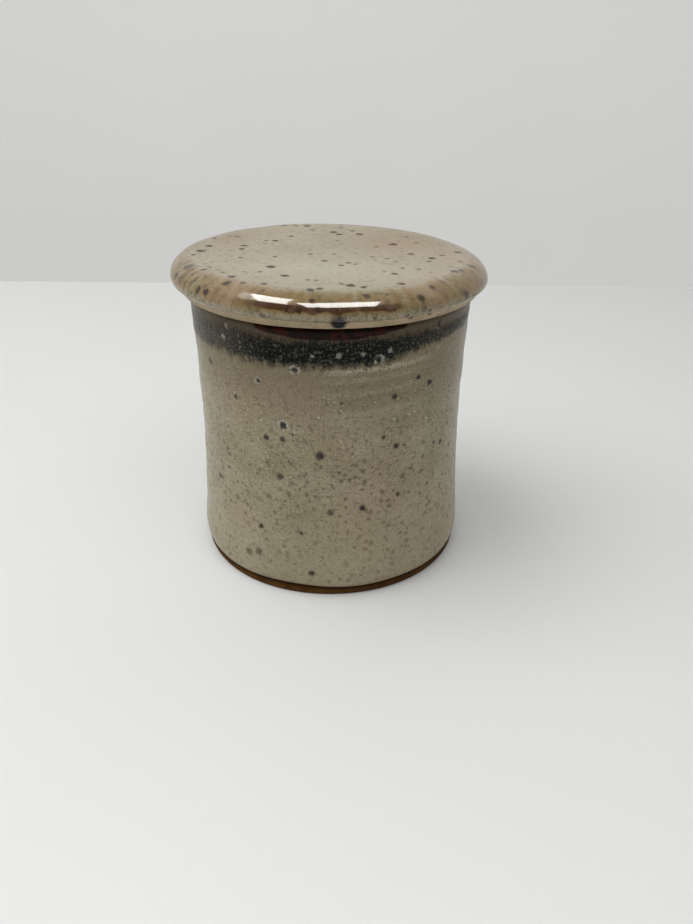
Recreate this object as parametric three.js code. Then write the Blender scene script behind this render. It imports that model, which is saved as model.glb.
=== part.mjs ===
// Butter crock: a hand-thrown stoneware crock that holds a little cold water, and a knobless lid with a
// butter bell luted under it. The bell hangs in the crock, its mouth under the water, so that no air
// reaches the butter. Turned upside down, the lid stands on its flat top and serves as the butter dish.
//
// Millimetres, +Z up. The origin is the centre of the foot, on the surface that the crock stands on.

import * as THREE from "three";

// Crock
const CROCK_HEIGHT = 103.7; // foot to rim
const BELLY_RADIUS = 52.3; // widest place, just above the foot
const BELLY_Z = 9;
const WAIST_RADIUS = 50.05; // narrowest place, half way up
const WAIST_Z = 57;
const RIM_RADIUS = 51.4;
const WALL = 5; // thickness of the thrown wall
const FLOOR_Z = 6.5; // top of the floor, inside
const FLOOR_COVE = 9; // radius where the wall turns into the floor
const RIM_ROUND = 2; // radius of the rim's two shoulders
const GLAZE_LINE_Z = 4.2; // the foot below this is bare clay
const GLAZE_STEP = 0.45; // how far the glaze stands proud of the bare clay
const TUCK_RADIUS = 3.6; // the wall turns in from the belly to the foot on a quarter ellipse
const TUCK_HEIGHT = 9; // of this radius and height
const FOOT_RADIUS = 51.3;
const FOOT_ROUND = 1; // radius of the foot's outer corner
const FOOT_RING_WIDTH = 11; // flat ring that the crock stands on
const FOOT_RECESS = 1.5; // how far the trimmed middle of the base is lifted

// Lid
const SEAT_GAP = 0.3; // between the rim and the lid at rest
const LID_UNDERSIDE_Z = CROCK_HEIGHT + SEAT_GAP;
const LID_THICKNESS = 10.7;
const LID_RADIUS = 57;
const LID_TOP_RADIUS = 48; // edge of the flat top, where the edge starts to round over
const WIDEST_ABOVE_SEAT = 4.2; // height of the lid's widest ring above its underside
const LIP_RADIUS = 54; // bottom of the narrow lip under the rounded edge
const LIP_TOP_RADIUS = 55.2;
const LIP_HEIGHT = 2.7;
const LIP_ROUND = 0.6;
const LID_DISH = 4.2; // depth of the hollow in the underside, inside the bell, and its corner radius

// Butter bell
const BELL_MOUTH_Z = 30;
const BELL_RADIUS = 41; // outside, at the lid
const BELL_MOUTH_RADIUS = 40.2; // outside, at the mouth
const BELL_WALL = 4;
const BELL_FILLET = 3; // clay coil pressed into the outside corner between bell and lid

const TURNS = 60; // facets round each piece
const ARC_STEPS = 6; // segments in each round stretch of an outline
const WALL_STEPS = 9;

const glaze = new THREE.MeshStandardMaterial({ color: 0xa1947c, roughness: 0.32, metalness: 0 });
const lidGlaze = new THREE.MeshStandardMaterial({ color: 0xb5a98f, roughness: 0.25, metalness: 0 });
const bellGlaze = new THREE.MeshStandardMaterial({ color: 0xa99c82, roughness: 0.3, metalness: 0 });

// Outside radius of the crock's wall at height z: two parabolas that meet at the waist.
function wallRadius(z) {
  const below = z < WAIST_Z;
  const end = below ? BELLY_RADIUS : RIM_RADIUS;
  const reach = below ? WAIST_Z - BELLY_Z : CROCK_HEIGHT - WAIST_Z;
  return WAIST_RADIUS + (end - WAIST_RADIUS) * ((z - WAIST_Z) / reach) ** 2;
}

// Points (radius, height) of a quarter or part turn about (r, z), from one angle to another in degrees.
function arc(r, z, radiusR, radiusZ, from, to) {
  const turn = THREE.MathUtils.degToRad;
  const curve = new THREE.EllipseCurve(r, z, radiusR, radiusZ, turn(from), turn(to), to < from);
  return curve.getPoints(ARC_STEPS);
}

// Points down or up the crock's wall, inset by a thickness, between two heights.
function wallStretch(zFrom, zTo, inset) {
  const steps = Array.from({ length: WALL_STEPS + 1 }, (_, i) => i / WALL_STEPS);
  return steps.map((t) => {
    const z = THREE.MathUtils.lerp(zFrom, zTo, t);
    return new THREE.Vector2(wallRadius(z) - inset, z);
  });
}

// Points up the tuck of the wall, from the glaze line to the belly.
function tuckStretch() {
  const start = -THREE.MathUtils.radToDeg(Math.asin((BELLY_Z - GLAZE_LINE_Z) / TUCK_HEIGHT));
  return arc(BELLY_RADIUS - TUCK_RADIUS, BELLY_Z, TUCK_RADIUS, TUCK_HEIGHT, start, 0);
}

function crockOutline() {
  const ringInner = FOOT_RADIUS - FOOT_ROUND - FOOT_RING_WIDTH;
  const shoulderZ = CROCK_HEIGHT - RIM_ROUND;
  const coveZ = FLOOR_Z + FLOOR_COVE;
  const innerAtCove = wallRadius(coveZ) - WALL;
  return [
    new THREE.Vector2(0, FOOT_RECESS),
    new THREE.Vector2(ringInner - FOOT_RECESS, FOOT_RECESS),
    new THREE.Vector2(ringInner, 0),
    ...arc(FOOT_RADIUS - FOOT_ROUND, FOOT_ROUND, FOOT_ROUND, FOOT_ROUND, -90, 0),
    new THREE.Vector2(FOOT_RADIUS, GLAZE_LINE_Z - GLAZE_STEP),
    ...tuckStretch(),
    ...wallStretch(BELLY_Z, shoulderZ, 0).slice(1),
    ...arc(wallRadius(shoulderZ) - RIM_ROUND, shoulderZ, RIM_ROUND, RIM_ROUND, 0, 90).slice(1),
    ...arc(wallRadius(shoulderZ) - WALL + RIM_ROUND, shoulderZ, RIM_ROUND, RIM_ROUND, 90, 180),
    ...wallStretch(shoulderZ, coveZ, WALL).slice(1),
    ...arc(innerAtCove - FLOOR_COVE, coveZ, FLOOR_COVE, FLOOR_COVE, 360, 270).slice(1),
    new THREE.Vector2(0, FLOOR_Z),
  ];
}

function lidOutline() {
  const z = LID_UNDERSIDE_Z;
  const bellInside = BELL_RADIUS - BELL_WALL;
  const widestZ = z + WIDEST_ABOVE_SEAT;
  const topZ = z + LID_THICKNESS;
  return [
    new THREE.Vector2(0, z + LID_DISH),
    ...arc(bellInside - LID_DISH, z, LID_DISH, LID_DISH, 90, 0),
    ...arc(LIP_RADIUS - LIP_ROUND, z + LIP_ROUND, LIP_ROUND, LIP_ROUND, -90, 0),
    new THREE.Vector2(LIP_TOP_RADIUS, z + LIP_HEIGHT),
    ...arc(LIP_TOP_RADIUS, widestZ, LID_RADIUS - LIP_TOP_RADIUS, WIDEST_ABOVE_SEAT - LIP_HEIGHT, -70, -20),
    ...arc(LID_TOP_RADIUS, widestZ, LID_RADIUS - LID_TOP_RADIUS, topZ - widestZ, 0, 90),
    new THREE.Vector2(0, topZ),
  ];
}

function bellOutline() {
  const mouthRound = BELL_WALL / 2;
  const mouthMiddle = BELL_MOUTH_RADIUS - mouthRound;
  const mouthZ = BELL_MOUTH_Z + mouthRound;
  const top = new THREE.Vector2(BELL_RADIUS - BELL_WALL, LID_UNDERSIDE_Z);
  return [
    top,
    ...arc(mouthMiddle, mouthZ, mouthRound, mouthRound, 180, 360),
    ...arc(BELL_RADIUS + BELL_FILLET, LID_UNDERSIDE_Z - BELL_FILLET, BELL_FILLET, BELL_FILLET, 180, 90),
    top.clone(),
  ];
}

// A named piece turned about +Z from its outline.
function turned(name, outline, material) {
  const geometry = new THREE.LatheGeometry(outline, TURNS).rotateX(Math.PI / 2);
  const mesh = new THREE.Mesh(geometry, material);
  mesh.name = name;
  return mesh;
}

const lid = new THREE.Group();
lid.add(turned("lid_cap", lidOutline(), lidGlaze), turned("butter_bell", bellOutline(), bellGlaze));

const butterCrock = new THREE.Group();
butterCrock.add(turned("crock", crockOutline(), glaze), lid);

export default butterCrock;
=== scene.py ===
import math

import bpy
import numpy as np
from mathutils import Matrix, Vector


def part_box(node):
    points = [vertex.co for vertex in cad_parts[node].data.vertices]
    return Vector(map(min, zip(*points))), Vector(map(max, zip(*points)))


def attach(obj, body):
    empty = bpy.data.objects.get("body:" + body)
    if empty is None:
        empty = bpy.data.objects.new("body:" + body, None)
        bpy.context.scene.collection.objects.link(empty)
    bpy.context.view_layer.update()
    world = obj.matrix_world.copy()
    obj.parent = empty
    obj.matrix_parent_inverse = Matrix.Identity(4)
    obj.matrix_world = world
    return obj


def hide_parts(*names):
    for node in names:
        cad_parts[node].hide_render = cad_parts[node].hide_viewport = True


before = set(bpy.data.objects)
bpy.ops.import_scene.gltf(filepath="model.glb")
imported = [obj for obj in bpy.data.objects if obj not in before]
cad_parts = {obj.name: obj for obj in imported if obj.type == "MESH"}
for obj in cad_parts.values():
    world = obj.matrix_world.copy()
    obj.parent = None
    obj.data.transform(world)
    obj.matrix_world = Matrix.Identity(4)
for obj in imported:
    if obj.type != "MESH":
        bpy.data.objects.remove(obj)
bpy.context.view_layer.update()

# A hand-thrown stoneware butter crock: the crock, and its knobless lid with the butter bell luted under it.
#
# The frame is in metres, +Z up, and the origin is the centre of the foot. The shapes below are worked out
# in millimetres, and put_in_mesh turns them into metres. Angles round the pot are measured from the front,
# which is -Y, towards +X.

MM = 0.001


# ---------- sizes from the frame


def node_box(node):
    """Lowest and highest corner of a CAD node, in millimetres."""
    low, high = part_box(node)
    return np.array(low) / MM, np.array(high) / MM


_, crock_high = node_box("crock")
lid_low, lid_high = node_box("lid_cap")
bell_low, bell_high = node_box("butter_bell")

# Crock
BELLY_R = crock_high[0]
RIM_Z = crock_high[2]
BELLY_Z = 9.0
WAIST_R = BELLY_R - 2.25
WAIST_Z = 57.0
RIM_R = BELLY_R - 0.9
WALL = 5.0
FLOOR_Z = 6.5
FLOOR_COVE = 9.0
RIM_ROUND = 2.0
FOOT_R = BELLY_R - 1.0
FOOT_ROUND = 1.0
FOOT_RING = 11.0
FOOT_RECESS = 1.5
GLAZE_LINE_Z = 4.2
GLAZE_STEP = 0.45
TUCK_R = 3.6
TUCK_HEIGHT = 9.0

# Lid cap
LID_R = lid_high[0]
SEAT_Z = lid_low[2]
LID_TOP_Z = lid_high[2]
LID_THICKNESS = LID_TOP_Z - SEAT_Z
LID_TOP_R = LID_R - 9.0
WIDEST_Z = SEAT_Z + 4.2
LIP_R = LID_R - 3.0
CREASE_R = LID_R - 1.8
CREASE_Z = SEAT_Z + 2.7
LIP_ROUND = 0.6
DISH = 4.2
LID_SHIFT = -0.8
LID_LEAN = -0.0137

# Butter bell
MOUTH_Z = bell_low[2]
COIL = 3.0
BELL_R = bell_high[0] - COIL
BELL_MOUTH_R = BELL_R - 0.8
BELL_WALL = 4.0

# Columns of each piece's grid, and values for places that a pattern doesn't reach
CROCK_COLUMNS = 460
LID_COLUMNS = 520
BELL_COLUMNS = 420
PAST_END = 50
NO_BAND = -9.0


# ---------- outlines and fields


def arc(r, z, radius_r, radius_z, begin, end, steps):
    """Points (radius, height) on an ellipse about (r, z), between two angles in degrees, the last left
    out."""
    turn = np.radians(np.linspace(begin, end, steps, endpoint=False))
    return np.column_stack([r + radius_r * np.cos(turn), z + radius_z * np.sin(turn)])


def straight(start, end, steps):
    """Points on the line between two (radius, height) points, the last left out."""
    share = np.linspace(0, 1, steps, endpoint=False)[:, None]
    return np.array(start) + (np.array(end) - np.array(start)) * share


def wall_radius(z):
    """Outside radius of the crock at height z: two parabolas that meet at the waist."""
    z = np.asarray(z, float)
    below = z < WAIST_Z
    swell = np.where(below, BELLY_R, RIM_R) - WAIST_R
    reach = np.where(below, WAIST_Z - BELLY_Z, RIM_Z - WAIST_Z)
    return WAIST_R + swell * ((z - WAIST_Z) / reach) ** 2


def wall(z_from, z_to, inset, steps):
    """Points along the crock's wall between two heights, inset by a thickness, the last left out."""
    z = np.linspace(z_from, z_to, steps, endpoint=False)
    return np.column_stack([wall_radius(z) - inset, z])


def smooth(value, low, high):
    """0 below low, 1 above high and an S curve between, or the other way round if low is the larger."""
    share = np.clip((value - low) / (high - low), 0, 1)
    return share * share * (3 - 2 * share)


def bump(value, centre, reach):
    """A bell curve: 1 at centre, 0.37 at centre plus or minus reach."""
    return np.exp(-(((value - centre) / reach) ** 2))


def ripples(angle, along, waves, turns, pitch, seed):
    """A smooth random field of about -1 to 1: a sum of waves, each with up to a number of whole turns
    round the pot and a wavelength of at least pitch millimetres along the outline."""
    draw = np.random.default_rng(seed)
    total = np.zeros(np.broadcast(angle, along).shape)
    for _ in range(waves):
        round_pot = draw.integers(0, turns + 1) * draw.choice([-1, 1])
        up_pot = draw.uniform(0.15, 1.0) * 2 * np.pi / pitch
        total += np.cos(round_pot * angle + up_pot * along + draw.uniform(0, 2 * np.pi))
    return total / math.sqrt(waves)


def ripples_round(angle, waves, turns, seed):
    """The same kind of field where it changes only with the angle."""
    return ripples(angle, np.zeros((1, 1)), waves, turns, 30, seed)


def length_along(points):
    """Distance along an outline to each of its points."""
    steps = np.hypot(*np.diff(points, axis=0).T)
    return np.concatenate([[0], np.cumsum(steps)])


def outward(points, closed):
    """Unit normals of an outline that runs anticlockwise, as (radius, height) pairs."""
    if closed:
        ahead, behind = np.roll(points, -1, axis=0), np.roll(points, 1, axis=0)
    else:
        ahead, behind = np.vstack([points[1:], points[-1:]]), np.vstack([points[:1], points[:-1]])
    run = ahead - behind
    normal = np.column_stack([run[:, 1], -run[:, 0]])
    return normal / np.linalg.norm(normal, axis=1)[:, None]


class Turned:
    """An outline turned about the Z axis: a grid with one row for each outline point and one column for
    each angle. r and z are its radius and height, and shift_x moves it sideways."""

    def __init__(self, outline, columns, closed=False):
        self.closed = closed
        self.angle = np.linspace(0, 2 * np.pi, columns, endpoint=False)[None, :]
        self.along = length_along(outline)[:, None]
        self.normal_r, self.normal_z = (part[:, None] for part in outward(outline, closed).T)
        self.r = outline[:, :1] + 0 * self.angle
        self.z = outline[:, 1:] + 0 * self.angle
        self.shift_x = 0 * self.r

    def lift(self, height):
        """Moves the grid along the outline's normals."""
        self.r = self.r + self.normal_r * height
        self.z = self.z + self.normal_z * height

    def points(self):
        """The grid as an (rows, columns, 3) array: (r sin angle, -r cos angle, z)."""
        x = self.r * np.sin(self.angle) + self.shift_x
        y = -self.r * np.cos(self.angle)
        return np.stack([x, y, self.z], axis=2)

    def press_spots(self, spots, depth):
        """A shallow dimple at each (centre, radius), in millimetres, with the shape of a bell curve."""
        here = self.points()
        for centre, radius in spots:
            away = np.linalg.norm(here - np.array(centre), axis=2) / radius
            self.lift(-depth * np.exp(-(away**2)))


def grid_quads(rows, columns, first, wraps):
    """Four-sided faces of a grid whose columns join up, as point numbers from first. If it wraps, its last
    row joins its first one too."""
    row, column = np.meshgrid(np.arange(rows if wraps else rows - 1), np.arange(columns), indexing="ij")
    place = lambda at_row, at_column: first + at_row % rows * columns + at_column % columns
    near = [place(row, column), place(row, column + 1)]
    far = [place(row + 1, column + 1), place(row + 1, column)]
    return np.stack(near + far, axis=2).reshape(-1, 4).tolist()


def put_in_mesh(name, turned, fields):
    """A closed mesh of the grid, in metres, with each field as an attribute of its points. An open outline
    starts and ends on the axis, where its end rows become one point each with a fan of triangles."""
    points = turned.points() * MM
    rows, columns = points.shape[:2]
    fields = {label: field + 0 * turned.r for label, field in fields.items()}
    if turned.closed:
        faces = grid_quads(rows, columns, 0, wraps=True)
        flat = points.reshape(-1, 3)
        keep = {label: field.ravel() for label, field in fields.items()}
    else:
        ring = np.arange(columns)
        beside = (ring + 1) % columns
        last_ring = 1 + (rows - 3) * columns
        first_fan = np.column_stack([0 * ring, 1 + beside, 1 + ring])
        last_fan = np.column_stack([0 * ring + last_ring + columns, last_ring + ring, last_ring + beside])
        faces = grid_quads(rows - 2, columns, 1, wraps=False) + first_fan.tolist() + last_fan.tolist()
        flat = np.vstack([points[0].mean(axis=0), points[1:-1].reshape(-1, 3), points[-1].mean(axis=0)])
        keep = {
            label: np.concatenate([[field[0].mean()], field[1:-1].ravel(), [field[-1].mean()]])
            for label, field in fields.items()
        }
    mesh = bpy.data.meshes.new(name)
    mesh.from_pydata(flat.tolist(), [], faces)
    for label, values in keep.items():
        attribute = mesh.attributes.new(label, "FLOAT", "POINT")
        attribute.data.foreach_set("value", values.astype(np.float32))
    mesh.polygons.foreach_set("use_smooth", np.ones(len(faces), bool))
    mesh.update()
    piece = bpy.data.objects.new(name, mesh)
    bpy.context.scene.collection.objects.link(piece)
    return piece


def cover_between(along, edges):
    """Signed distance along the outline from the nearest glaze edge, positive on the glaze. edges lists the
    start and end of each glazed stretch."""
    inside = [np.minimum(along - start, end - along) for start, end in edges]
    return np.maximum.reduce(inside)


# ---------- where the spots lie

# Iron and cobalt spots on the crock: (angle, height, radius, depth of colour, pale ring).
CROCK_SPOTS = [
    (-12, 88.8, 1.2, 0.9, 0.9), (-17.5, 68.3, 1.4, 1.0, 1.0), (-3.2, 58, 1.3, 0.9, 0.2),
    (-19.5, 48.2, 1.2, 0.8, 0.5), (13.8, 36.7, 1.1, 1.2, 0.0), (-39, 75, 0.9, 0.9, 0.7),
    (-27.3, 83.2, 0.9, 0.9, 0.6), (-54.3, 84, 1.1, 0.7, 0.0), (-25, 62.6, 1.0, 0.9, 0.1),
    (-18, 63, 0.9, 0.8, 0.0), (36.5, 83, 0.9, 1.0, 0.5), (43, 79.7, 1.1, 1.0, 0.5),
    (26, 78, 1.0, 0.9, 0.2), (22, 63.5, 0.7, 0.9, 0.0), (27.8, 59, 1.0, 0.9, 0.1),
    (31.7, 58.5, 0.6, 0.7, 0.0), (48.5, 55, 0.7, 0.8, 0.0), (53.8, 53.3, 1.0, 0.9, 0.1),
    (-28.8, 26.2, 0.9, 0.9, 0.0), (-6.7, 10.3, 1.0, 0.9, 0.0), (-54, 38.5, 1.2, 0.7, 0.0),
    (-35, 13.2, 1.4, 0.5, 0.0), (-30, 15, 1.4, 0.5, 0.0), (1, 35.5, 1.0, 0.7, 0.0),
    (-11, 26.5, 0.8, 0.7, 0.0), (45.5, 100, 1.1, 0.9, 0.4), (19, 92.2, 1.2, 0.9, 1.0),
]

# Fine throwing ridges in front where the glaze is thick and pale: (height, strength).
RIDGES = [(88.4, 1.0), (85.2, 0.45), (80.4, 0.4), (73.0, 0.45), (70.6, 0.3)]

# Pale blisters in the dark band: (angle, height, radius).
BAND_BLISTERS = [
    (4, 94.2, 1.0), (12.8, 94.5, 0.8), (23.2, 94.7, 0.9), (-5.5, 94, 0.7), (-42.8, 95.7, 1.1),
    (-40.5, 100, 0.9), (46, 91.7, 0.9),
]

# Iron spots on the flat top of the lid: (x, y, radius, depth of colour).
LID_SPOTS = [
    (1.2, 33.4, 1.2, 1.0), (3.4, 29.6, 1.2, 0.9), (11.6, 30.5, 1.2, 0.9), (-9.8, 43.6, 1.3, 1.0),
    (-19.4, 44, 1.2, 0.8), (-15.2, 24.4, 1.0, 0.8), (-20.6, 16.3, 1.1, 0.9), (-31.3, 7.3, 1.1, 0.8),
    (-31.6, 2.3, 1.0, 0.7), (-44, 5.2, 1.2, 0.9), (-45.6, -2.4, 1.5, 0.8), (-47.2, -8.4, 0.9, 0.9),
    (-18.7, -7.6, 0.8, 1.0), (-18.7, -22.2, 1.4, 0.9), (-38.9, -24.2, 0.8, 0.7),
    (-40.3, -27.9, 1.0, 0.8), (-30.1, -35.7, 1.3, 1.0), (-25.7, -42.4, 0.9, 1.2),
    (-13.3, -33, 1.2, 0.9), (24, 14.3, 1.4, 1.0), (33, 17.5, 0.8, 0.7), (29.7, 0, 1.0, 0.9),
    (36.8, -5.7, 1.2, 1.0), (35.4, -10.4, 0.8, 0.7), (20.9, -7.3, 0.8, 0.7),
    (-1.2, -11.8, 1.0, 0.8), (7.3, -14.2, 0.9, 0.7), (22.4, -27.8, 1.0, 0.8),
    (25.6, -20.2, 0.8, 0.7), (42.8, -23.2, 1.2, 1.0), (45.4, -21.4, 1.1, 1.0), (47.2, 4, 1.1, 0.8),
    (23.9, -39.9, 1.2, 0.8), (7.9, -42.9, 1.3, 1.0), (-1.6, -47.4, 1.1, 1.0),
    (-4.4, -48.8, 1.1, 1.0), (-14.6, 43.5, 0.9, 0.7), (-7.4, 36.8, 0.8, 0.6), (8.6, 36.4, 0.9, 0.6),
    (-31.5, 38, 0.9, 0.5), (-36, 21.8, 0.9, 0.5), (-43.8, 17.6, 0.9, 0.7), (-24, 16.4, 0.7, 0.6),
    (-24.2, 11.5, 0.7, 0.5), (3, 19.4, 0.7, 0.5), (29.6, 27.4, 0.9, 0.4), (17.7, 10.3, 0.8, 0.4),
    (41, -1.1, 0.9, 0.6), (46.3, -9.7, 0.9, 0.6), (15.6, -4.9, 0.7, 0.6), (23.8, -11.5, 0.8, 0.6),
    (9.8, -16, 0.7, 0.5), (31, -21.2, 0.8, 0.5), (-21.7, -29, 0.8, 0.5), (-33.6, -30.8, 0.8, 0.5),
    (-5.7, -37.6, 0.7, 0.6), (5.2, -41.3, 0.8, 0.7), (12, -44.6, 0.9, 0.8), (-19, -43.3, 0.9, 0.8),
]

# Iron spots round the edge of the lid: (angle, height, radius, depth of colour).
EDGE_SPOTS = [
    (-8, 110.5, 1.0, 1.2), (-2, 111.0, 1.1, 1.2), (26, 107.4, 0.7, 1.4), (28.5, 106.2, 0.9, 0.7),
    (36, 106.4, 0.8, 0.8), (15, 108.3, 0.7, 0.8), (32.5, 112.2, 1.3, 1.0), (14, 113.8, 1.2, 0.9),
    (40, 113.9, 1.1, 0.8), (53, 109.6, 1.4, 0.9), (59, 107.3, 0.9, 1.0), (-4, 112.9, 0.7, 0.9),
    (-47, 111.2, 1.2, 1.0), (-43, 111.3, 1.2, 1.0), (-66, 111.3, 1.3, 1.1), (-64, 114.2, 1.9, 0.9),
    (-37, 114.2, 1.4, 0.9), (74, 114.1, 1.5, 1.0), (-20, 107.9, 0.9, 0.8),
]

# Where the amber line under the lid's round edge has run down in front, in degrees.
IRON_DRIPS = (-10.6, -3.8, 3.8, 20.5)

# The large drop where iron has run over the crease in front: (angle, height, radius).
IRON_DROP = (4, 105.9, 1.7)


# ---------- the three pieces


def on_crock(angle, z):
    """The point of the crock's outside at an angle in degrees and a height."""
    turn = math.radians(angle)
    r = float(wall_radius(z))
    return (r * math.sin(turn), -r * math.cos(turn), z)


def lid_edge_radius(z):
    """Outside radius of the lid's edge at height z: quarter ellipse above the widest ring, lip below."""
    if z >= WIDEST_Z:
        rise = min((z - WIDEST_Z) / (LID_TOP_Z - WIDEST_Z), 1.0)
        return LID_TOP_R + (LID_R - LID_TOP_R) * math.sqrt(1 - rise * rise)
    if z >= CREASE_Z:
        return LID_R
    return LIP_R + (CREASE_R - LIP_R) * (z - SEAT_Z) / (CREASE_Z - SEAT_Z)


def lid_sway(x, z):
    """How far the hand-thrown lid leans off its true shape at a point: sideways, and in height."""
    share = np.clip((z - SEAT_Z) / LID_THICKNESS, 0, 1)
    return LID_SHIFT * share, LID_LEAN * x * share


def on_lid(x, y, z):
    """A point of the true lid, moved as the hand-thrown lid leans."""
    sideways, up = lid_sway(x, z)
    return (x + float(sideways), y, z + float(up))


def on_lid_edge(angle, z):
    """The point of the lid's edge at an angle in degrees and a height."""
    turn = math.radians(angle)
    r = lid_edge_radius(z)
    return on_lid(r * math.sin(turn), -r * math.cos(turn), z)


def make_crock():
    """The crock. Outline: recessed base, flat foot ring, bare foot, a step up onto the glaze, the tuck, the
    waisted wall, a rounded rim, the inside wall, a cove and the floor."""
    ring_inner = FOOT_R - FOOT_ROUND - FOOT_RING
    shoulder_z = RIM_Z - RIM_ROUND
    shoulder_r = float(wall_radius(shoulder_z))
    cove_z = FLOOR_Z + FLOOR_COVE
    inside_r = float(wall_radius(cove_z)) - WALL
    tuck_from = -math.degrees(math.asin((BELLY_Z - GLAZE_LINE_Z) / TUCK_HEIGHT))
    tuck_r = BELLY_R - TUCK_R
    glaze_r = tuck_r + TUCK_R * math.cos(math.radians(tuck_from))
    clay_edge = (FOOT_R, GLAZE_LINE_Z - GLAZE_STEP)
    base = [
        straight((0, FOOT_RECESS), (ring_inner - FOOT_RECESS, FOOT_RECESS), 10),
        straight((ring_inner - FOOT_RECESS, FOOT_RECESS), (ring_inner, 0), 3),
        straight((ring_inner, 0), (FOOT_R - FOOT_ROUND, 0), 7),
        arc(FOOT_R - FOOT_ROUND, FOOT_ROUND, FOOT_ROUND, FOOT_ROUND, -90, 0, 5),
        straight((FOOT_R, FOOT_ROUND), clay_edge, 4),
        straight(clay_edge, (glaze_r, GLAZE_LINE_Z), 3),
    ]
    outside = [
        arc(tuck_r, BELLY_Z, TUCK_R, TUCK_HEIGHT, tuck_from, 0, 8),
        wall(BELLY_Z, shoulder_z, 0, 100),
        arc(shoulder_r - RIM_ROUND, shoulder_z, RIM_ROUND, RIM_ROUND, 0, 90, 7),
        straight((shoulder_r - RIM_ROUND, RIM_Z), (shoulder_r - WALL + RIM_ROUND, RIM_Z), 2),
        arc(shoulder_r - WALL + RIM_ROUND, shoulder_z, RIM_ROUND, RIM_ROUND, 90, 180, 7),
    ]
    inside = [
        wall(shoulder_z, cove_z, WALL, 36),
        arc(inside_r - FLOOR_COVE, cove_z, FLOOR_COVE, FLOOR_COVE, 360, 270, 8),
        straight((inside_r - FLOOR_COVE, FLOOR_Z), (0, FLOOR_Z), 10),
        np.array([[0, FLOOR_Z]]),
    ]
    outline = np.vstack(base + outside + inside)
    crock = Turned(outline, CROCK_COLUMNS)
    glaze_row = sum(len(part) for part in base)
    rim_row = glaze_row + sum(len(part) for part in outside[:3]) + 1
    along, angle = crock.along, crock.angle
    glaze_at, rim_at = along[glaze_row, 0], along[rim_row, 0]

    # the glaze edge runs a little up and down round the foot
    waver = 0.42 * ripples_round(angle, 7, 9, seed=3)
    near_edge = smooth(along, glaze_at - 2.6, glaze_at - 0.5) * smooth(along, glaze_at + 9, glaze_at + 0.5)
    crock.z = crock.z + waver * near_edge

    # thrown walls: fine rings on the smoothed outside, broad finger rings inside
    out_wall = smooth(along, glaze_at + 2, glaze_at + 12) * smooth(along, rim_at - 3, rim_at - 8)
    in_wall = smooth(along, rim_at + 4, rim_at + 12)
    upper = smooth(outline[:, 1:], 60, 92)
    spiral = np.sin(2 * np.pi * crock.z / 2.9 - angle) + 0.6 * np.sin(2 * np.pi * crock.z / 1.9 - angle + 2)
    crock.lift(out_wall * (0.012 + 0.022 * upper) * spiral)
    crock.lift(out_wall * 0.07 * ripples(angle, along, 26, 9, 14, seed=5))
    crock.lift(out_wall * 0.05 * ripples(0 * angle, along, 18, 0, 5, seed=6))
    finger = np.sin(2 * np.pi * along / 7.5 - angle + 0.6 * np.sin(angle))
    crock.lift(in_wall * 0.22 * finger * smooth(crock.r, 3, 12))
    crock.lift(0.06 * ripples(angle, along, 16, 7, 12, seed=7) * smooth(crock.r, 2, 14) * (crock.z > 1e-6))

    # trimming rings in the recessed base
    trimmed = smooth(along, ring_inner - 3, ring_inner - 6) * smooth(crock.r, 1, 6)
    crock.lift(trimmed * 0.09 * np.sin(2 * np.pi * crock.r / 2.6 - angle))

    crock.press_spots([(on_crock(a, z), 0.8 * r) for a, z, r, *_ in CROCK_SPOTS], 0.06)
    crock.press_spots([(on_crock(a, z), r) for a, z, r in BAND_BLISTERS], -0.12)
    crock.z = np.maximum(crock.z, 0)

    cover = cover_between(along, [(glaze_at, rim_at - 1.2), (rim_at + 2.4, along[-1, 0] + PAST_END)])
    height, degrees = crock.z, np.degrees((angle + np.pi) % (2 * np.pi) - np.pi)
    outer = along < rim_at
    band_low = 89.5 + 0.4 * ripples_round(angle, 9, 14, seed=11)
    band_low = band_low + 4.8 * smooth(degrees, -2, 58) * smooth(degrees, 160, 110)
    band_high = 98.6 + 0.4 * ripples_round(angle, 7, 8, seed=12)
    band = (height - band_low) / (band_high - band_low)
    fade = 1 - 0.12 * smooth(degrees, 22, 50) * smooth(degrees, 150, 100)
    fade = fade * (1 - 0.2 * smooth(degrees, -22, -50) * smooth(degrees, -160, -110))
    off_front = np.abs(degrees - 1)
    red_low = 99.2 + 2.2 * smooth(off_front, 4, 27) + 0.3 * ripples_round(angle, 6, 10, seed=13)
    red = smooth(height, red_low - 0.6, red_low + 0.4) * (0.2 + 0.8 * smooth(off_front, 33, 22))
    ridge = sum(share * bump(height, level + 0.03 * degrees, 0.9) for level, share in RIDGES)
    ridge = ridge * smooth(degrees, -8, 6) * smooth(degrees, 48, 30)
    fields = {
        "cover": cover,
        "ridge": ridge * outer,
        "band": np.where(outer, band, NO_BAND),
        "band_share": fade + 0 * crock.r,
        "rim_iron": np.where(outer, red, smooth(along, rim_at + 9, rim_at + 4) * 0.6),
    }
    return put_in_mesh("crock_pot", crock, fields)


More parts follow.
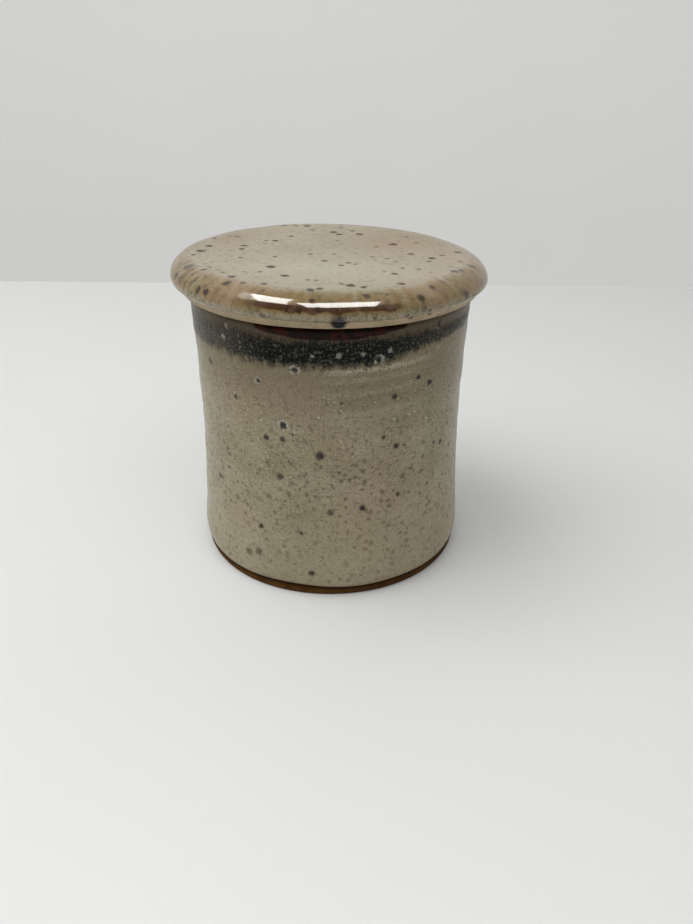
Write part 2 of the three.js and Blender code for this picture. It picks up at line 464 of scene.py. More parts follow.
def make_lid_cap():
    """The lid cap. Outline: hollow underside inside the bell, the flat seat, a narrow lip, the crease, the
    round edge and the flat top."""
    bell_inside = BELL_R - BELL_WALL
    lip_points = [
        arc(LIP_R - LIP_ROUND, SEAT_Z + LIP_ROUND, LIP_ROUND, LIP_ROUND, -90, 0, 5),
        straight((LIP_R, SEAT_Z + LIP_ROUND), (CREASE_R, CREASE_Z), 6),
    ]
    under = [
        straight((0, SEAT_Z + DISH), (bell_inside - DISH, SEAT_Z + DISH), 14),
        arc(bell_inside - DISH, SEAT_Z, DISH, DISH, 90, 0, 8),
        straight((bell_inside, SEAT_Z), (LIP_R - LIP_ROUND, SEAT_Z), 12),
    ]
    edge = [
        arc(CREASE_R, WIDEST_Z, LID_R - CREASE_R, WIDEST_Z - CREASE_Z, -80, 0, 8),
        arc(LID_TOP_R, WIDEST_Z, LID_R - LID_TOP_R, LID_TOP_Z - WIDEST_Z, 0, 90, 30),
        straight((LID_TOP_R, LID_TOP_Z), (0, LID_TOP_Z), 70),
        np.array([[0, LID_TOP_Z]]),
    ]
    outline = np.vstack(under + lip_points + edge)
    lid = Turned(outline, LID_COLUMNS)
    seat_from = sum(len(part) for part in under[:2])
    seat_to = sum(len(part) for part in under)
    crease_row = seat_to + sum(len(part) for part in lip_points)
    top_row = crease_row + len(edge[0]) + len(edge[1])
    along, angle = lid.along, lid.angle
    dish_at, seat_at = along[seat_from, 0], along[seat_to, 0]
    crease_at, top_at = along[crease_row, 0], along[top_row, 0]

    # a flat thrown top: a shallow spiral, a slight hollow in the middle and long slow waves
    on_top = smooth(along, top_at - 2, top_at + 6) * smooth(lid.r, 0.5, 6)
    lid.lift(on_top * 0.012 * np.sin(2 * np.pi * lid.r / 4.3 + angle))
    lid.lift(-0.25 * smooth(lid.r, 44, 6) * (along > top_at))
    lid.lift(on_top * 0.035 * ripples(angle, along, 22, 7, 16, seed=21))
    on_edge = smooth(along, crease_at + 1, crease_at + 4) * smooth(along, top_at + 4, top_at - 2)
    lid.lift(on_edge * 0.06 * ripples(angle, along, 24, 15, 9, seed=22))
    on_lip = smooth(along, seat_at + 0.5, seat_at + 2) * smooth(along, crease_at, crease_at - 0.8)
    lid.lift(on_lip * 0.07 * ripples(angle, along, 12, 13, 8, seed=23))
    in_dish = smooth(along, dish_at - 3, dish_at - 9) * smooth(lid.r, 1, 8)
    lid.lift(in_dish * 0.18 * np.sin(2 * np.pi * lid.r / 6 - angle))

    # the lid leans a little, as it came off the wheel
    flat_x, flat_y = lid.r * np.sin(angle), -lid.r * np.cos(angle)
    sideways, up = lid_sway(flat_x, lid.z)
    lid.shift_x = sideways
    lid.z = lid.z + up

    raised = [(on_lid(x, y, LID_TOP_Z), 0.8 * r) for x, y, r, _ in LID_SPOTS]
    raised += [(on_lid_edge(a, z), 0.8 * r) for a, z, r, _ in EDGE_SPOTS]
    lid.press_spots(raised, 0.05)
    drop_angle, drop_z, drop_r = IRON_DROP
    lid.press_spots([(on_lid_edge(drop_angle, drop_z), drop_r)], -0.45)

    degrees = np.degrees((angle + np.pi) % (2 * np.pi) - np.pi)
    true_z = outline[:, 1:] + 0 * angle
    true_r = outline[:, :1] + 0 * angle
    above = along > crease_at
    waver = ripples_round(angle, 9, 12, seed=24)
    strands = ripples(angle, along, 50, 110, 34, seed=25)
    golden = (0.46 + 0.1 * strands) * smooth(true_r + 0.9 * waver + 0.4 * strands, 45.5, 51.5)
    golden = golden * smooth(true_z, 108.5, 111) + 0.14 * smooth(true_z, 111.5, 109.5)
    # a dark brown line under the round edge, strongest in front beneath the highlight: partly the glaze
    # breaking to iron brown, with its drips, and partly painted dark reflection
    drips = sum(bump(degrees, at, 1.8) for at in IRON_DRIPS)
    line_low = 110.5 - 0.9 * drips + 0.2 * waver
    line = smooth(true_z, line_low - 0.5, line_low + 0.4) * smooth(true_z, 112.2, 111.3)
    line = line * (0.12 + 0.75 * smooth(np.abs(degrees), 30, 18) + 0.1 * waver)
    amber = np.where(above, np.maximum(golden, 0) + line, 0)
    glazed = [(-PAST_END, dish_at + 7), (seat_at - 0.3, along[-1, 0] + PAST_END)]
    right_blush = bump(flat_x, 27, 24) * bump(flat_y, 20, 20)
    left_blush = bump(flat_x, -38, 9) * bump(flat_y, 22, 16)
    left_runs = smooth(degrees, -32, -52) * smooth(degrees, -150, -110)
    fields = {
        "cover": cover_between(along, glazed),
        "amber": amber,
        "lip": smooth(along, seat_at - 1, seat_at) * smooth(along, crease_at + 0.1, crease_at - 0.5),
        "crease": bump(along, crease_at + 0.2, 0.35),
        "blush": (right_blush + left_blush) * above,
        "flat": smooth(true_r + 0.9 * waver, 50, 45) * above,
        "milk": bump(flat_x, -3, 27) * bump(flat_y, -23, 15) * above,
        "streaks": smooth(true_r, 50, 53) * (0.35 + 0.4 * left_runs),
    }
    return put_in_mesh("lid_top", lid, fields)


def make_bell():
    """The butter bell, open at both ends. Outline: down the inside, round the mouth, up the outside and out
    over the coil of clay that lutes it to the lid cap."""
    mouth_round = BELL_WALL / 2
    mouth_middle = BELL_MOUTH_R - mouth_round
    mouth_z = MOUTH_Z + mouth_round
    coil_z = SEAT_Z - COIL
    outline = np.vstack([
        straight((BELL_R - BELL_WALL, SEAT_Z), (mouth_middle - mouth_round, mouth_z), 56),
        arc(mouth_middle, mouth_z, mouth_round, mouth_round, 180, 360, 14),
        straight((mouth_middle + mouth_round, mouth_z), (BELL_R, coil_z), 56),
        arc(BELL_R + COIL, coil_z, COIL, COIL, 180, 90, 9),
        straight((BELL_R + COIL, SEAT_Z), (BELL_R - BELL_WALL, SEAT_Z), 6),
    ])
    bell = Turned(outline, BELL_COLUMNS, closed=True)
    along, angle = bell.along, bell.angle
    free = smooth(bell.z, SEAT_Z - 0.2, SEAT_Z - 3)
    mouth_row = 60  # a little way into the mouth's half round
    inner = along < along[mouth_row, 0]
    finger = np.sin(2 * np.pi * bell.z / 6.8 - angle + 0.5 * np.sin(angle + 1))
    bell.lift(free * np.where(inner, 0.2, 0.1) * finger)
    bell.lift(free * 0.09 * ripples(angle, along, 20, 8, 12, seed=31))
    coil = smooth(bell.z, SEAT_Z - 7, SEAT_Z - 2.4) * smooth(bell.z, SEAT_Z, SEAT_Z - 1.2) * ~inner
    bell.lift(coil * 0.22 * np.sin(23 * angle + 2 * np.sin(3 * angle)))
    bell.z = bell.z + 0.15 * np.cos(2 * angle + 0.4) * smooth(bell.z, MOUTH_Z + 30, MOUTH_Z)
    mouth_break = smooth(bell.z, MOUTH_Z + 2.6, MOUTH_Z + 0.4) + 0.5 * coil
    return put_in_mesh("bell_cup", bell, {"amber": 0.8 * mouth_break})


# ---------- node wiring


def srgb(red, green, blue):
    """A colour as it looks on a screen, 0 to 255, as the linear colour that shaders use."""
    share = np.array([red, green, blue]) / 255
    linear = np.where(share <= 0.04045, share / 12.92, ((share + 0.055) / 1.055) ** 2.4)
    return (*linear.tolist(), 1.0)


class Wiring:
    """Adds nodes to one tree. Each method adds a node, feeds it values or other nodes' outputs, and returns
    what it puts out."""

    def __init__(self, tree):
        self.tree = tree

    def node(self, kind, **settings):
        """A new node, with its settings."""
        made = self.tree.nodes.new(kind)
        for name, value in settings.items():
            setattr(made, name, value)
        return made

    def feed(self, socket, value):
        """Links a socket to an output, or sets its value."""
        if isinstance(value, bpy.types.NodeSocket):
            self.tree.links.new(value, socket)
        else:
            socket.default_value = value

    def math(self, operation, a, b=0.0):
        """One sum with two numbers."""
        made = self.node("ShaderNodeMath", operation=operation)
        self.feed(made.inputs[0], a)
        self.feed(made.inputs[1], b)
        return made.outputs[0]

    def add(self, a, b):
        return self.math("ADD", a, b)

    def times(self, a, b):
        return self.math("MULTIPLY", a, b)

    def most(self, a, b):
        return self.math("MAXIMUM", a, b)

    def sway(self, noise, reach):
        """A noise made a value between minus and plus half of reach."""
        return self.times(self.add(noise, -0.5), reach)

    def step(self, value, low, high, out_low=0.0, out_high=1.0):
        """An S curve from out_low, where value is low, to out_high, where it is high."""
        made = self.node("ShaderNodeMapRange", interpolation_type="SMOOTHSTEP")
        for socket, given in zip(made.inputs, (value, low, high, out_low, out_high)):
            self.feed(socket, given)
        return made.outputs["Result"]

    def vector(self, operation, a, b=(0, 0, 0)):
        """One sum with two vectors."""
        made = self.node("ShaderNodeVectorMath", operation=operation)
        self.feed(made.inputs[0], a)
        self.feed(made.inputs[1], b)
        return made.outputs["Value" if operation in ("DISTANCE", "LENGTH", "DOT_PRODUCT") else "Vector"]

    def blend(self, share, a, b):
        """Between the values a and b."""
        made = self.node("ShaderNodeMix", data_type="FLOAT")
        for socket, given in zip((made.inputs[0], made.inputs[2], made.inputs[3]), (share, a, b)):
            self.feed(socket, given)
        return made.outputs[0]

    def tint(self, share, a, b, how="MIX"):
        """Between the colours a and b."""
        made = self.node("ShaderNodeMix", data_type="RGBA", blend_type=how)
        for socket, given in zip((made.inputs[0], made.inputs[6], made.inputs[7]), (share, a, b)):
            self.feed(socket, given)
        return made.outputs[2]

    def noise(self, position, scale, detail=2.0, roughness=0.5, out="Fac"):
        """A random field, smooth at the size of 1 / scale metres."""
        made = self.node("ShaderNodeTexNoise")
        self.feed(made.inputs["Vector"], position)
        self.feed(made.inputs["Scale"], scale)
        self.feed(made.inputs["Detail"], detail)
        self.feed(made.inputs["Roughness"], roughness)
        return made.outputs[out]

    def group(self, tree, **values):
        """A node group's outputs, with its named inputs fed."""
        made = self.node("ShaderNodeGroup", node_tree=tree)
        for name, value in values.items():
            self.feed(made.inputs[name], value)
        return made.outputs

    def attribute(self, name):
        """One of the piece's own fields."""
        return self.node("ShaderNodeAttribute", attribute_name=name).outputs["Fac"]


def new_group(name, inputs, outputs):
    """A shader node group. inputs is {name: (kind of socket, default)}, outputs {name: kind of socket}."""
    tree = bpy.data.node_groups.new(name, "ShaderNodeTree")
    for label, (kind, value) in inputs.items():
        socket = tree.interface.new_socket(label, in_out="INPUT", socket_type="NodeSocket" + kind)
        socket.default_value = value
    for label, kind in outputs.items():
        tree.interface.new_socket(label, in_out="OUTPUT", socket_type="NodeSocket" + kind)
    wires = Wiring(tree)
    taken = wires.node("NodeGroupInput").outputs
    given = wires.node("NodeGroupOutput").inputs
    return tree, wires, taken, given


def specks_group():
    """Specks scattered through the clay. Each cell of a Voronoi pattern may hold one round speck, with a
    random size and tone of its own."""
    tree, wires, taken, given = new_group(
        "Specks",
        {
            "Position": ("Vector", (0, 0, 0)),
            "Cells": ("Float", 300.0), "Share": ("Float", 0.5),
            "Radius": ("Float", 0.25), "Edge": ("Float", 0.5),
        },
        {"Mask": "Float", "Tone": "Float"},
    )
    cells = wires.node("ShaderNodeTexVoronoi")
    wires.feed(cells.inputs["Vector"], taken["Position"])
    wires.feed(cells.inputs["Scale"], taken["Cells"])
    parts = wires.node("ShaderNodeSeparateColor")
    wires.feed(parts.inputs[0], cells.outputs["Color"])
    chosen = wires.math("LESS_THAN", parts.outputs[0], taken["Share"])
    size = wires.times(taken["Radius"], wires.add(wires.times(parts.outputs[1], 0.6), 0.4))
    core = wires.times(size, wires.math("SUBTRACT", 1.0, taken["Edge"]))
    disc = wires.step(cells.outputs["Distance"], size, core)
    wires.feed(given["Mask"], wires.times(disc, chosen))
    wires.feed(given["Tone"], parts.outputs[2])
    return tree


def glaze_group(specks):
    """Oatmeal stoneware glaze: clouds, grain, short dark strokes, soft olive blots, dark iron specks, pale
    pricks with painted shade on one side, and amber to brown where the glaze has run thin."""
    tree, wires, taken, given = new_group(
        "Oatmeal glaze",
        {
            "Position": ("Vector", (0, 0, 0)), "Amber": ("Float", 0.0),
            "Olive specks": ("Float", 0.6), "Dark specks": ("Float", 0.6), "Pin-pricks": ("Float", 0.4),
        },
        {"Colour": "Color", "Roughness": "Float", "Height": "Float"},
    )
    position = taken["Position"]
    slow = wires.noise(position, 75, 3)
    wide = wires.noise(position, 24, 2)
    grain = wires.noise(position, 1500, 2)
    fine = wires.noise(position, 3600, 1)
    marks = wires.noise(position, 560, 3, 0.65)
    paler = wires.noise(wires.vector("ADD", position, (0.5, 0.2, 0.1)), 620, 2, 0.6)
    dashes = wires.noise(wires.vector("MULTIPLY", position, (0.4, 0.4, 1.0)), 1100, 1)
    runs = wires.noise(wires.vector("MULTIPLY", position, (1.0, 1.0, 0.3)), 1000, 1)
    warp = wires.vector("SUBTRACT", wires.noise(position, 420, 1, out="Color"), (0.5, 0.5, 0.5))
    shifted = wires.vector("ADD", position, wires.vector("MULTIPLY", warp, (0.0016, 0.0016, 0.0016)))

    # clouds of khaki and faint pink
    colour = wires.tint(wires.step(slow, 0.25, 0.75), srgb(148, 139, 111), srgb(164, 155, 129))
    colour = wires.tint(wires.step(wide, 0.42, 0.75, 0, 0.6), colour, srgb(171, 151, 127))

    # grain, and short dark strokes along and up the pot
    shade = wires.step(grain, 0.3, 0.7, 0.82, 1.13)
    shade = wires.times(shade, wires.step(fine, 0.25, 0.75, 0.92, 1.07))
    shade = wires.times(shade, wires.step(dashes, 0.58, 0.72, 1.0, 0.72))
    shade = wires.times(shade, wires.step(runs, 0.60, 0.74, 1.0, 0.72))
    shade = wires.times(shade, wires.step(paler, 0.55, 0.70, 1.0, 1.12))
    level = wires.node("ShaderNodeCombineColor")
    for socket in level.inputs:
        wires.feed(socket, shade)
    colour = wires.tint(1.0, colour, level.outputs[0], "MULTIPLY")

    amber = wires.times(taken["Amber"], wires.step(slow, 0.25, 0.75, 0.75, 1.25))
    colour = wires.tint(wires.step(amber, 0.0, 0.55), colour, srgb(134, 109, 64))
    colour = wires.tint(wires.step(amber, 0.45, 1.1), colour, srgb(66, 30, 2))

    # specks: olive blots, dark iron, and pale pricks with painted shade on one side
    olive = wires.group(specks, Position=shifted, Cells=350.0, Share=0.7, Radius=0.6, Edge=0.9)
    blots = wires.most(olive["Mask"], wires.step(marks, 0.57, 0.72))
    dark = wires.group(specks, Position=shifted, Cells=250.0, Share=0.5, Radius=0.27, Edge=0.65)
    prick = wires.group(specks, Position=shifted, Cells=520.0, Share=0.5, Radius=0.38, Edge=0.5)
    # painted shade: a dark speck set just beside each pale prick, always in one fixed direction, as the
    # shaded side of its pit
    beside = wires.vector("ADD", shifted, (0.0004, 0.0, 0.0004))
    prick_shade = wires.group(specks, Position=beside, Cells=520.0, Share=0.5, Radius=0.38, Edge=0.5)
    colour = wires.tint(wires.times(blots, taken["Olive specks"]), colour, srgb(82, 73, 46))
    colour = wires.tint(wires.times(dark["Mask"], taken["Dark specks"]), colour, srgb(50, 40, 24))
    shaded = wires.times(prick_shade["Mask"], wires.times(taken["Pin-pricks"], 0.8))
    colour = wires.tint(shaded, colour, srgb(72, 64, 42))
    colour = wires.tint(wires.times(prick["Mask"], taken["Pin-pricks"]), colour, srgb(202, 194, 168))
    wires.feed(given["Colour"], colour)

    rough = wires.step(slow, 0.3, 0.7, 0.30, 0.40)
    rough = wires.add(rough, wires.times(blots, 0.12))
    rough = wires.add(rough, wires.times(prick["Mask"], 0.15))
    wires.feed(given["Roughness"], rough)

    peel = wires.noise(position, 330, 2)
    height = wires.add(wires.times(peel, 0.5), wires.times(grain, 0.12))
    height = wires.add(height, wires.times(dark["Mask"], 0.1))
    height = wires.add(height, wires.times(prick["Mask"], -0.2))
    wires.feed(given["Height"], height)
    return tree


def clay_group(specks):
    """Bare stoneware clay, fired dark brown: fine grog, darker and redder patches, matt."""
    tree, wires, taken, given = new_group(
        "Bare clay",
        {"Position": ("Vector", (0, 0, 0))},
        {"Colour": "Color", "Roughness": "Float", "Height": "Float"},
    )
    position = taken["Position"]
    patch = wires.noise(position, 160, 3)
    grain = wires.noise(position, 2600, 2)
    grog = wires.group(specks, Position=position, Cells=900.0, Share=0.35, Radius=0.3, Edge=0.4)
    colour = wires.tint(wires.step(patch, 0.35, 0.65), srgb(82, 54, 22), srgb(104, 70, 34))
    colour = wires.tint(wires.step(grain, 0.35, 0.7, 0, 0.5), colour, srgb(46, 28, 12))
    colour = wires.tint(wires.times(grog["Mask"], 0.5), colour, srgb(126, 96, 58))
    wires.feed(given["Colour"], colour)
    wires.feed(given["Roughness"], wires.step(grain, 0.3, 0.7, 0.68, 0.85))
    wires.feed(given["Height"], wires.add(grain, wires.times(grog["Mask"], 0.5)))
    return tree


def new_material(name):
    """An empty material: its wiring, its Principled shader and the position that its patterns follow."""
    material = bpy.data.materials.new(name)
    material.use_nodes = True
    tree = material.node_tree
    tree.nodes.clear()
    wires = Wiring(tree)
    shader = wires.node("ShaderNodeBsdfPrincipled")
    wires.feed(wires.node("ShaderNodeOutputMaterial").inputs["Surface"], shader.outputs[0])
    position = wires.node("ShaderNodeTexCoord").outputs["Object"]
    return material, wires, shader, position


def gloss(wires, shader, colour, roughness, height, depth, shine, coat, coat_roughness):
    """Feeds a glazed surface's colour, roughness and relief to its shader, with a faint satin shine of its
    own under a clear glassy coat whose weight may vary."""
    relief = wires.node("ShaderNodeBump")
    relief.inputs["Strength"].default_value = 1.0
    relief.inputs["Distance"].default_value = depth
    wires.feed(relief.inputs["Height"], height)
    wires.feed(shader.inputs["Base Color"], colour)
    wires.feed(shader.inputs["Roughness"], roughness)
    wires.feed(shader.inputs["Normal"], relief.outputs[0])
    shader.inputs["IOR"].default_value = 1.5
    shader.inputs["Specular IOR Level"].default_value = shine
    wires.feed(shader.inputs["Coat Weight"], coat)
    shader.inputs["Coat Roughness"].default_value = coat_roughness
    shader.inputs["Coat IOR"].default_value = 1.55


def spot_masks(wires, position, spots):
    """The strongest of many round spots at each point: (dark cores, pale rings). Each spot is (centre in
    millimetres, radius, depth of colour, pale ring)."""
    cores, rings = 0.0, 0.0
    for centre, radius, depth, ring in spots:
        away = wires.vector("DISTANCE", position, tuple(c * MM for c in centre))
        reach = radius * MM
        cores = wires.most(cores, wires.step(away, 1.35 * reach, 0.55 * reach, 0.0, depth))
        if ring > 0:
            rings = wires.most(rings, wires.step(away, 1.7 * reach, 1.3 * reach, 0.0, ring))
    return cores, rings


def wavered(wires, position, scale, reach):
    """The position, moved at random by up to about reach metres, so that round spots come out uneven."""
    wander = wires.vector("SUBTRACT", wires.noise(position, scale, 2, out="Color"), (0.5, 0.5, 0.5))
    return wires.vector("ADD", position, wires.vector("MULTIPLY", wander, (reach, reach, reach)))


def crock_material(glaze, clay, specks):
    """Oatmeal glaze, a blue-black band under the rim with red-brown iron above it, and a bare foot."""
    material, wires, shader, position = new_material("speckled_crock_glaze")
    height_z = wires.node("ShaderNodeSeparateXYZ")
    wires.feed(height_z.inputs[0], position)
    z = height_z.outputs["Z"]
    cover = wires.attribute("cover")
    band_at = wires.attribute("band")
    share = wires.attribute("band_share")
    iron_at = wires.attribute("rim_iron")
    low_down = wires.step(z, 0.075, 0.045)

    thin = wires.times(wires.step(cover, 1.1, 0.0), 0.75)
    speckling = {
        "Olive specks": wires.blend(low_down, 0.34, 0.75),
        "Dark specks": wires.blend(low_down, 0.3, 0.6),
        "Pin-pricks": wires.blend(low_down, 0.75, 0.15),
    }
    base = wires.group(glaze, Position=position, Amber=thin, **speckling)
    colour = wires.tint(wires.step(z, 0.06, 0.09, 0.0, 0.65), base["Colour"], srgb(114, 102, 77))
    fleck = wires.noise(position, 1250, 3, 0.7)
    pale_ridge = wires.times(wires.attribute("ridge"), wires.step(fleck, 0.4, 0.54))
    colour = wires.tint(wires.times(pale_ridge, 0.9), colour, srgb(190, 182, 158))
    colour = wires.tint(wires.step(cover, 2.0, 0.5, 0.0, 0.5), colour, srgb(156, 120, 94))
    colour = wires.tint(wires.step(z, 0.05, 0.012, 0.0, 0.3), colour, srgb(176, 167, 138))

    # the dark band: ragged edges, slate to black mottling and pale grey flecks, denser to the left
    coarse = wires.noise(position, 420, 3)
    grit = wires.noise(position, 850, 3, 0.7)
    trickle = wires.noise(wires.vector("MULTIPLY", position, (1.0, 1.0, 0.3)), 900, 2)
    ragged = wires.add(band_at, wires.sway(coarse, 0.5))
    ragged = wires.add(ragged, wires.sway(grit, 0.5))
    ragged = wires.add(ragged, wires.sway(trickle, 0.35))
    inside = wires.times(wires.step(ragged, -0.2, 0.3), wires.step(ragged, 1.4, 0.95))
    inside = wires.times(inside, share)
    flecked = wires.add(fleck, wires.times(wires.add(1.0, wires.times(share, -1.0)), 0.12))
    dark = wires.tint(wires.step(flecked, 0.5, 0.68), srgb(6, 7, 6), srgb(84, 87, 78))
    pale = wires.group(specks, Position=position, Cells=480.0, Share=0.35, Radius=0.44, Edge=0.9)
    dark = wires.tint(wires.times(pale["Mask"], 0.4), dark, srgb(128, 130, 118))
    colour = wires.tint(inside, colour, dark)

    # tan-brown wash between the band and the rim, and the red-brown iron in front
    wash = wires.times(wires.step(ragged, 0.8, 1.3), wires.step(cover, 0, 2))
    colour = wires.tint(wires.times(wash, 0.72), colour, srgb(68, 52, 34))
    iron = wires.step(wires.add(iron_at, wires.sway(coarse, 0.7)), 0.3, 0.75)
    rust = wires.tint(wires.step(coarse, 0.44, 0.68), srgb(14, 3, 1), srgb(58, 10, 3))
    colour = wires.tint(wires.times(iron, 0.95), colour, rust)

    # the listed spots, some with a broken pale rim
    uneven = wavered(wires, position, 800, 0.0015)
    blisters, _ = spot_masks(wires, uneven, [(on_crock(a, h), r, 0.8, 0) for a, h, r in BAND_BLISTERS])
    colour = wires.tint(blisters, colour, srgb(146, 143, 130))
    spots = [(on_crock(a, h), r, min(d, 1), ring) for a, h, r, d, ring in CROCK_SPOTS]
    cores, rings = spot_masks(wires, uneven, spots)
    stained = [(at, 1.5 * r, 0.45 * d, 0) for at, r, d, ring in spots if ring < 0.6]
    halos, _ = spot_masks(wires, uneven, stained)
    colour = wires.tint(halos, colour, srgb(76, 60, 40))
    broken = wires.step(wires.noise(position, 700, 1), 0.47, 0.62)
    colour = wires.tint(wires.times(rings, wires.times(broken, 0.7)), colour, srgb(200, 196, 182))
    spot_colour = wires.tint(wires.step(coarse, 0.42, 0.58), srgb(24, 18, 10), srgb(44, 35, 38))
    colour = wires.tint(wires.times(cores, 0.95), colour, spot_colour)
    strays = wires.group(specks, Position=uneven, Cells=95.0, Share=0.5, Radius=0.12, Edge=0.5)
    colour = wires.tint(wires.times(strays["Mask"], 0.8), colour, srgb(40, 32, 22))

    # bare clay below the glaze line and on top of the rim, with painted shade under the glaze edge
    edge = wires.add(cover, wires.sway(grit, 0.25))
    bare = wires.step(edge, 0.08, -0.08)
    earth = wires.group(clay, Position=position)
    # painted shade: a dark band on the clay just below the glaze edge, where the tucked glaze step would
    # shade it
    glaze_step_shade = wires.times(wires.step(edge, -2.6, -0.6), wires.step(edge, 0.35, 0.05))
    colour = wires.tint(bare, colour, earth["Colour"])
    colour = wires.tint(wires.times(glaze_step_shade, 0.9), colour, srgb(30, 14, 3))
    rough = wires.add(base["Roughness"], wires.times(iron, -0.12))
    rough = wires.blend(bare, rough, earth["Roughness"])
    relief = wires.add(base["Height"], wires.times(cores, -0.3))
    relief = wires.blend(bare, relief, wires.times(earth["Height"], 0.5))
    glassy = wires.blend(bare, wires.blend(wires.most(inside, iron), 0.32, 0.1), 0.0)
    gloss(wires, shader, colour, rough, relief, 0.00022, 0.05, glassy, 0.16)
    return material


def lid_material(glaze, clay, specks):
    """Oatmeal glaze with strong iron specks, breaking to amber round the edge, thin and pinkish on the lip,
    and a bare ring where the lid sits on the rim."""
    material, wires, shader, position = new_material("speckled_lid_glaze")
    cover = wires.attribute("cover")
    amber = wires.attribute("amber")
    lip = wires.attribute("lip")
    crease = wires.attribute("crease")
    speckling = {"Olive specks": 0.75, "Dark specks": 0.9, "Pin-pricks": 0.1}
    base = wires.group(glaze, Position=position, Amber=amber, **speckling)
    coarse = wires.noise(position, 420, 3)
    patchy = wires.step(wires.noise(position, 150, 3), 0.35, 0.62)
    drift = wires.noise(wires.vector("ADD", position, (0.3, 0.1, 0.0)), 55, 3)
    colour = wires.tint(wires.step(drift, 0.45, 0.7, 0.0, 0.4), base["Colour"], srgb(170, 144, 122))
    colour = wires.tint(wires.step(drift, 0.5, 0.3, 0.0, 0.4), colour, srgb(140, 137, 104))
    colour = wires.tint(wires.times(patchy, 0.1), colour, srgb(112, 96, 72))
    flat = wires.attribute("flat")
    # painted reflection: the flat top is tinted paler and greyer, standing in for the pale backdrop
    # mirrored in its glaze, whose clear coat is mostly taken off below
    colour = wires.tint(wires.times(flat, 0.4), colour, srgb(187, 181, 169))
    colour = wires.tint(wires.times(wires.attribute("blush"), 0.5), colour, srgb(150, 130, 106))
    colour = wires.tint(wires.times(wires.attribute("milk"), 0.4), colour, srgb(194, 188, 170))

    # iron has run in fine streaks down the round edge
    trickle = wires.noise(wires.vector("MULTIPLY", position, (1.0, 1.0, 0.4)), 520, 3, 0.6)
    run = wires.times(wires.step(trickle, 0.5, 0.66), wires.attribute("streaks"))
    colour = wires.tint(run, colour, srgb(82, 66, 38))
    colour = wires.tint(wires.times(lip, wires.blend(patchy, 0.85, 0.55)), colour, srgb(190, 168, 138))
    # dark line in the crease: partly glaze pooled there, partly painted shade
    crease_pool_and_shade = wires.times(crease, wires.step(coarse, 0.3, 0.6, 0.6, 1.0))
    colour = wires.tint(crease_pool_and_shade, colour, srgb(42, 30, 14))

    uneven = wavered(wires, position, 750, 0.0017)
    spots = [(on_lid(x, y, LID_TOP_Z), 1.2 * r, min(0.45 + 0.6 * d, 1), 0) for x, y, r, d in LID_SPOTS]
    spots += [(on_lid_edge(a, h), 1.1 * r, min(0.45 + 0.6 * d, 1), 0) for a, h, r, d in EDGE_SPOTS]
    cores, _ = spot_masks(wires, uneven, spots)
    spot_colour = wires.tint(wires.step(coarse, 0.42, 0.6), srgb(38, 28, 16), srgb(60, 43, 34))
    colour = wires.tint(wires.times(cores, 0.84), colour, spot_colour)
    strays = wires.group(specks, Position=uneven, Cells=120.0, Share=0.7, Radius=0.19, Edge=0.6)
    colour = wires.tint(wires.times(strays["Mask"], 0.75), colour, srgb(62, 42, 28))
    drop_angle, drop_z, drop_r = IRON_DROP
    drop_at = on_lid_edge(drop_angle, drop_z)
    above_drop = (drop_at[0], drop_at[1] - 0.8, drop_at[2] + 0.9)
    halo, _ = spot_masks(wires, uneven, [(above_drop, 1.7 * drop_r, 1.0, 0)])
    drop, _ = spot_masks(wires, uneven, [(drop_at, drop_r, 1.0, 0)])
    colour = wires.tint(halo, colour, srgb(34, 16, 8))
    colour = wires.tint(drop, colour, srgb(30, 38, 44))

    edge = wires.add(cover, wires.sway(coarse, 0.5))
    bare = wires.step(edge, 0.08, -0.08)
    earth = wires.group(clay, Position=position)
    colour = wires.tint(bare, colour, earth["Colour"])
    rough = wires.add(base["Roughness"], -0.1)
    rough = wires.add(rough, wires.times(lip, 0.2))
    rough = wires.blend(bare, rough, earth["Roughness"])
    relief = wires.blend(bare, wires.add(base["Height"], wires.times(cores, -0.25)), earth["Height"])
    dull = wires.most(wires.most(lip, crease), wires.times(flat, 0.95))
    glassy = wires.times(wires.blend(bare, 1.0, 0.0), wires.blend(dull, 1.0, 0.15))
    gloss(wires, shader, colour, rough, relief, 0.0003, 0.0, glassy, 0.08)
    return material


def bell_material(glaze):
    """Oatmeal glaze all over, breaking to amber on the mouth and the luted coil."""
    material, wires, shader, position = new_material("speckled_bell_glaze")
    speckling = {"Olive specks": 0.5, "Dark specks": 0.7, "Pin-pricks": 0.2}
    base = wires.group(glaze, Position=position, Amber=wires.attribute("amber"), **speckling)
    gloss(wires, shader, base["Colour"], base["Roughness"], base["Height"], 0.0002, 0.1, 0.6, 0.1)
    return material


# ---------- camera, stage, light


LENS = 30.16
CAMERA_AT = (0.00626, -0.2813, 0.1815)
CAMERA_DOWN = 28.53
CAMERA_ROLL = 0.44
TABLE_HALF = 4
TABLE_BACK = 0.37
BACKDROP_HALF = 6
BACKDROP_Y = 0.62


def make_camera():
    """Close to the pot and above its lid, looking 28.5 degrees down, with a slight roll."""
    data = bpy.data.cameras.new("camera")
    data.sensor_width = 36.0
    data.lens = LENS
    camera = bpy.data.objects.new("camera", data)
    bpy.context.scene.collection.objects.link(camera)
    pitch, roll = math.radians(90 - CAMERA_DOWN), math.radians(CAMERA_ROLL)
    turn = Matrix.Rotation(pitch, 4, "X") @ Matrix.Rotation(roll, 4, "Z")
    camera.matrix_world = Matrix.Translation(CAMERA_AT) @ turn
    bpy.context.scene.camera = camera


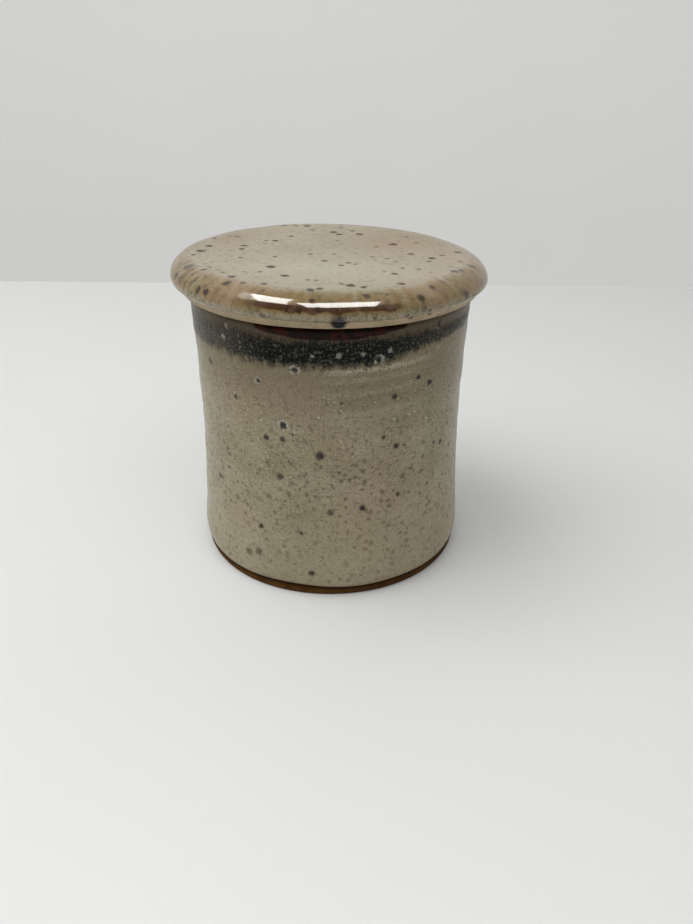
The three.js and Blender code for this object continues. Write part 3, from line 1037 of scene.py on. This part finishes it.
def plain(name, colour, roughness, glow):
    """A plain material with a barely visible unevenness, for the stage. glow is light of its own, as on a
    backdrop that is lit from behind."""
    material, wires, shader, position = new_material(name)
    uneven = wires.noise(position, 9, 2)
    mottled = wires.tint(wires.step(uneven, 0.3, 0.7, 0, 0.03), colour, (0.5, 0.5, 0.5, 1))
    wires.feed(shader.inputs["Base Color"], mottled)
    shader.inputs["Roughness"].default_value = roughness
    shader.inputs["Emission Color"].default_value = colour
    shader.inputs["Emission Strength"].default_value = glow
    return material


def make_stage():
    """A pale table top with its far edge a little behind the pot, and a pale backdrop further back."""
    side, back = TABLE_HALF, TABLE_BACK
    top = [(-side, -side, 0), (side, -side, 0), (side, back, 0), (-side, back, 0)]
    side, back = BACKDROP_HALF, BACKDROP_Y
    wall_behind = [(-side, back, -0.6), (side, back, -0.6), (side, back, 2), (-side, back, 2)]
    for name, corners, colour, glow in (
        ("table_top", top, srgb(225, 226, 224), 0.0),
        ("backdrop", wall_behind, srgb(100, 100, 99), 4.15),
    ):
        mesh = bpy.data.meshes.new(name)
        mesh.from_pydata(corners, [], [(0, 1, 2, 3)])
        mesh.materials.append(plain(name, colour, 0.6, glow))
        sheet = bpy.data.objects.new(name, mesh)
        bpy.context.scene.collection.objects.link(sheet)


def area_light(name, at, towards, size, turn, power, gleams):
    """A rectangular light at a place, facing a point, with its sizes across and along, turned in its own
    plane by an angle in degrees. It either only lights surfaces or only gleams in glossy ones, so that the
    softness of the light and the shape of its highlight are set apart."""
    data = bpy.data.lights.new(name, "AREA")
    data.shape = "RECTANGLE"
    data.size, data.size_y = size
    data.energy = power
    lamp = bpy.data.objects.new(name, data)
    bpy.context.scene.collection.objects.link(lamp)
    away = Vector(at) - Vector(towards)
    facing = away.to_track_quat("Z", "Y").to_matrix() @ Matrix.Rotation(math.radians(turn), 3, "Z")
    lamp.rotation_euler = facing.to_euler()
    lamp.location = at
    lamp.visible_diffuse = not gleams
    lamp.visible_glossy = gleams


def make_light():
    """Two soft panels that light the pot, three bright shapes that only gleam in its glaze, and a dim room
    that is darker in front."""
    pot = (0, 0, 0.08)
    for name, at, size, turn, power, gleams in (
        ("front_panel", (0.12, -0.44, 0.92), (1.00, 0.70), -28, 2.9, False),
        ("left_panel", (-0.52, -0.10, 0.92), (0.80, 0.90), 0, 6.2, False),
        ("front_gleam", (0.09, -0.235, 0.86), (0.50, 0.34), -12, 8.0, True),
        ("left_gleam", (-0.33, -0.05, 0.86), (0.45, 0.25), -27, 5.0, True),
        ("left_haze", (-0.50, 0.04, 0.88), (0.50, 0.16), -28, 0.7, True),
    ):
        area_light(name, at, pot, size, turn, power, gleams)
    world = bpy.data.worlds.new("room")
    bpy.context.scene.world = world
    world.use_nodes = True
    wires = Wiring(world.node_tree)
    background = world.node_tree.nodes["Background"]
    way = wires.node("ShaderNodeSeparateXYZ")
    wires.feed(way.inputs[0], wires.node("ShaderNodeTexCoord").outputs["Generated"])
    front = wires.step(way.outputs["Y"], 0.0, -0.8)
    wires.feed(background.inputs["Color"], wires.tint(front, srgb(235, 236, 238), srgb(136, 135, 133)))
    background.inputs["Strength"].default_value = 0.47
    bpy.context.scene.view_settings.view_transform = "Standard"


# ---------- putting it together

make_camera()
make_stage()
make_light()

specks = specks_group()
glaze = glaze_group(specks)
clay = clay_group(specks)

pieces = [
    (make_crock(), "crock", "crock", "crock_glaze", crock_material(glaze, clay, specks)),
    (make_lid_cap(), "lid_cap", "lid", "lid_glaze", lid_material(glaze, clay, specks)),
    (make_bell(), "butter_bell", "lid", "bell_glaze", bell_material(glaze)),
]
for piece, node, body, slot, material in pieces:
    piece.data.materials.append(material)
    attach(piece, body)
    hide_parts(node)
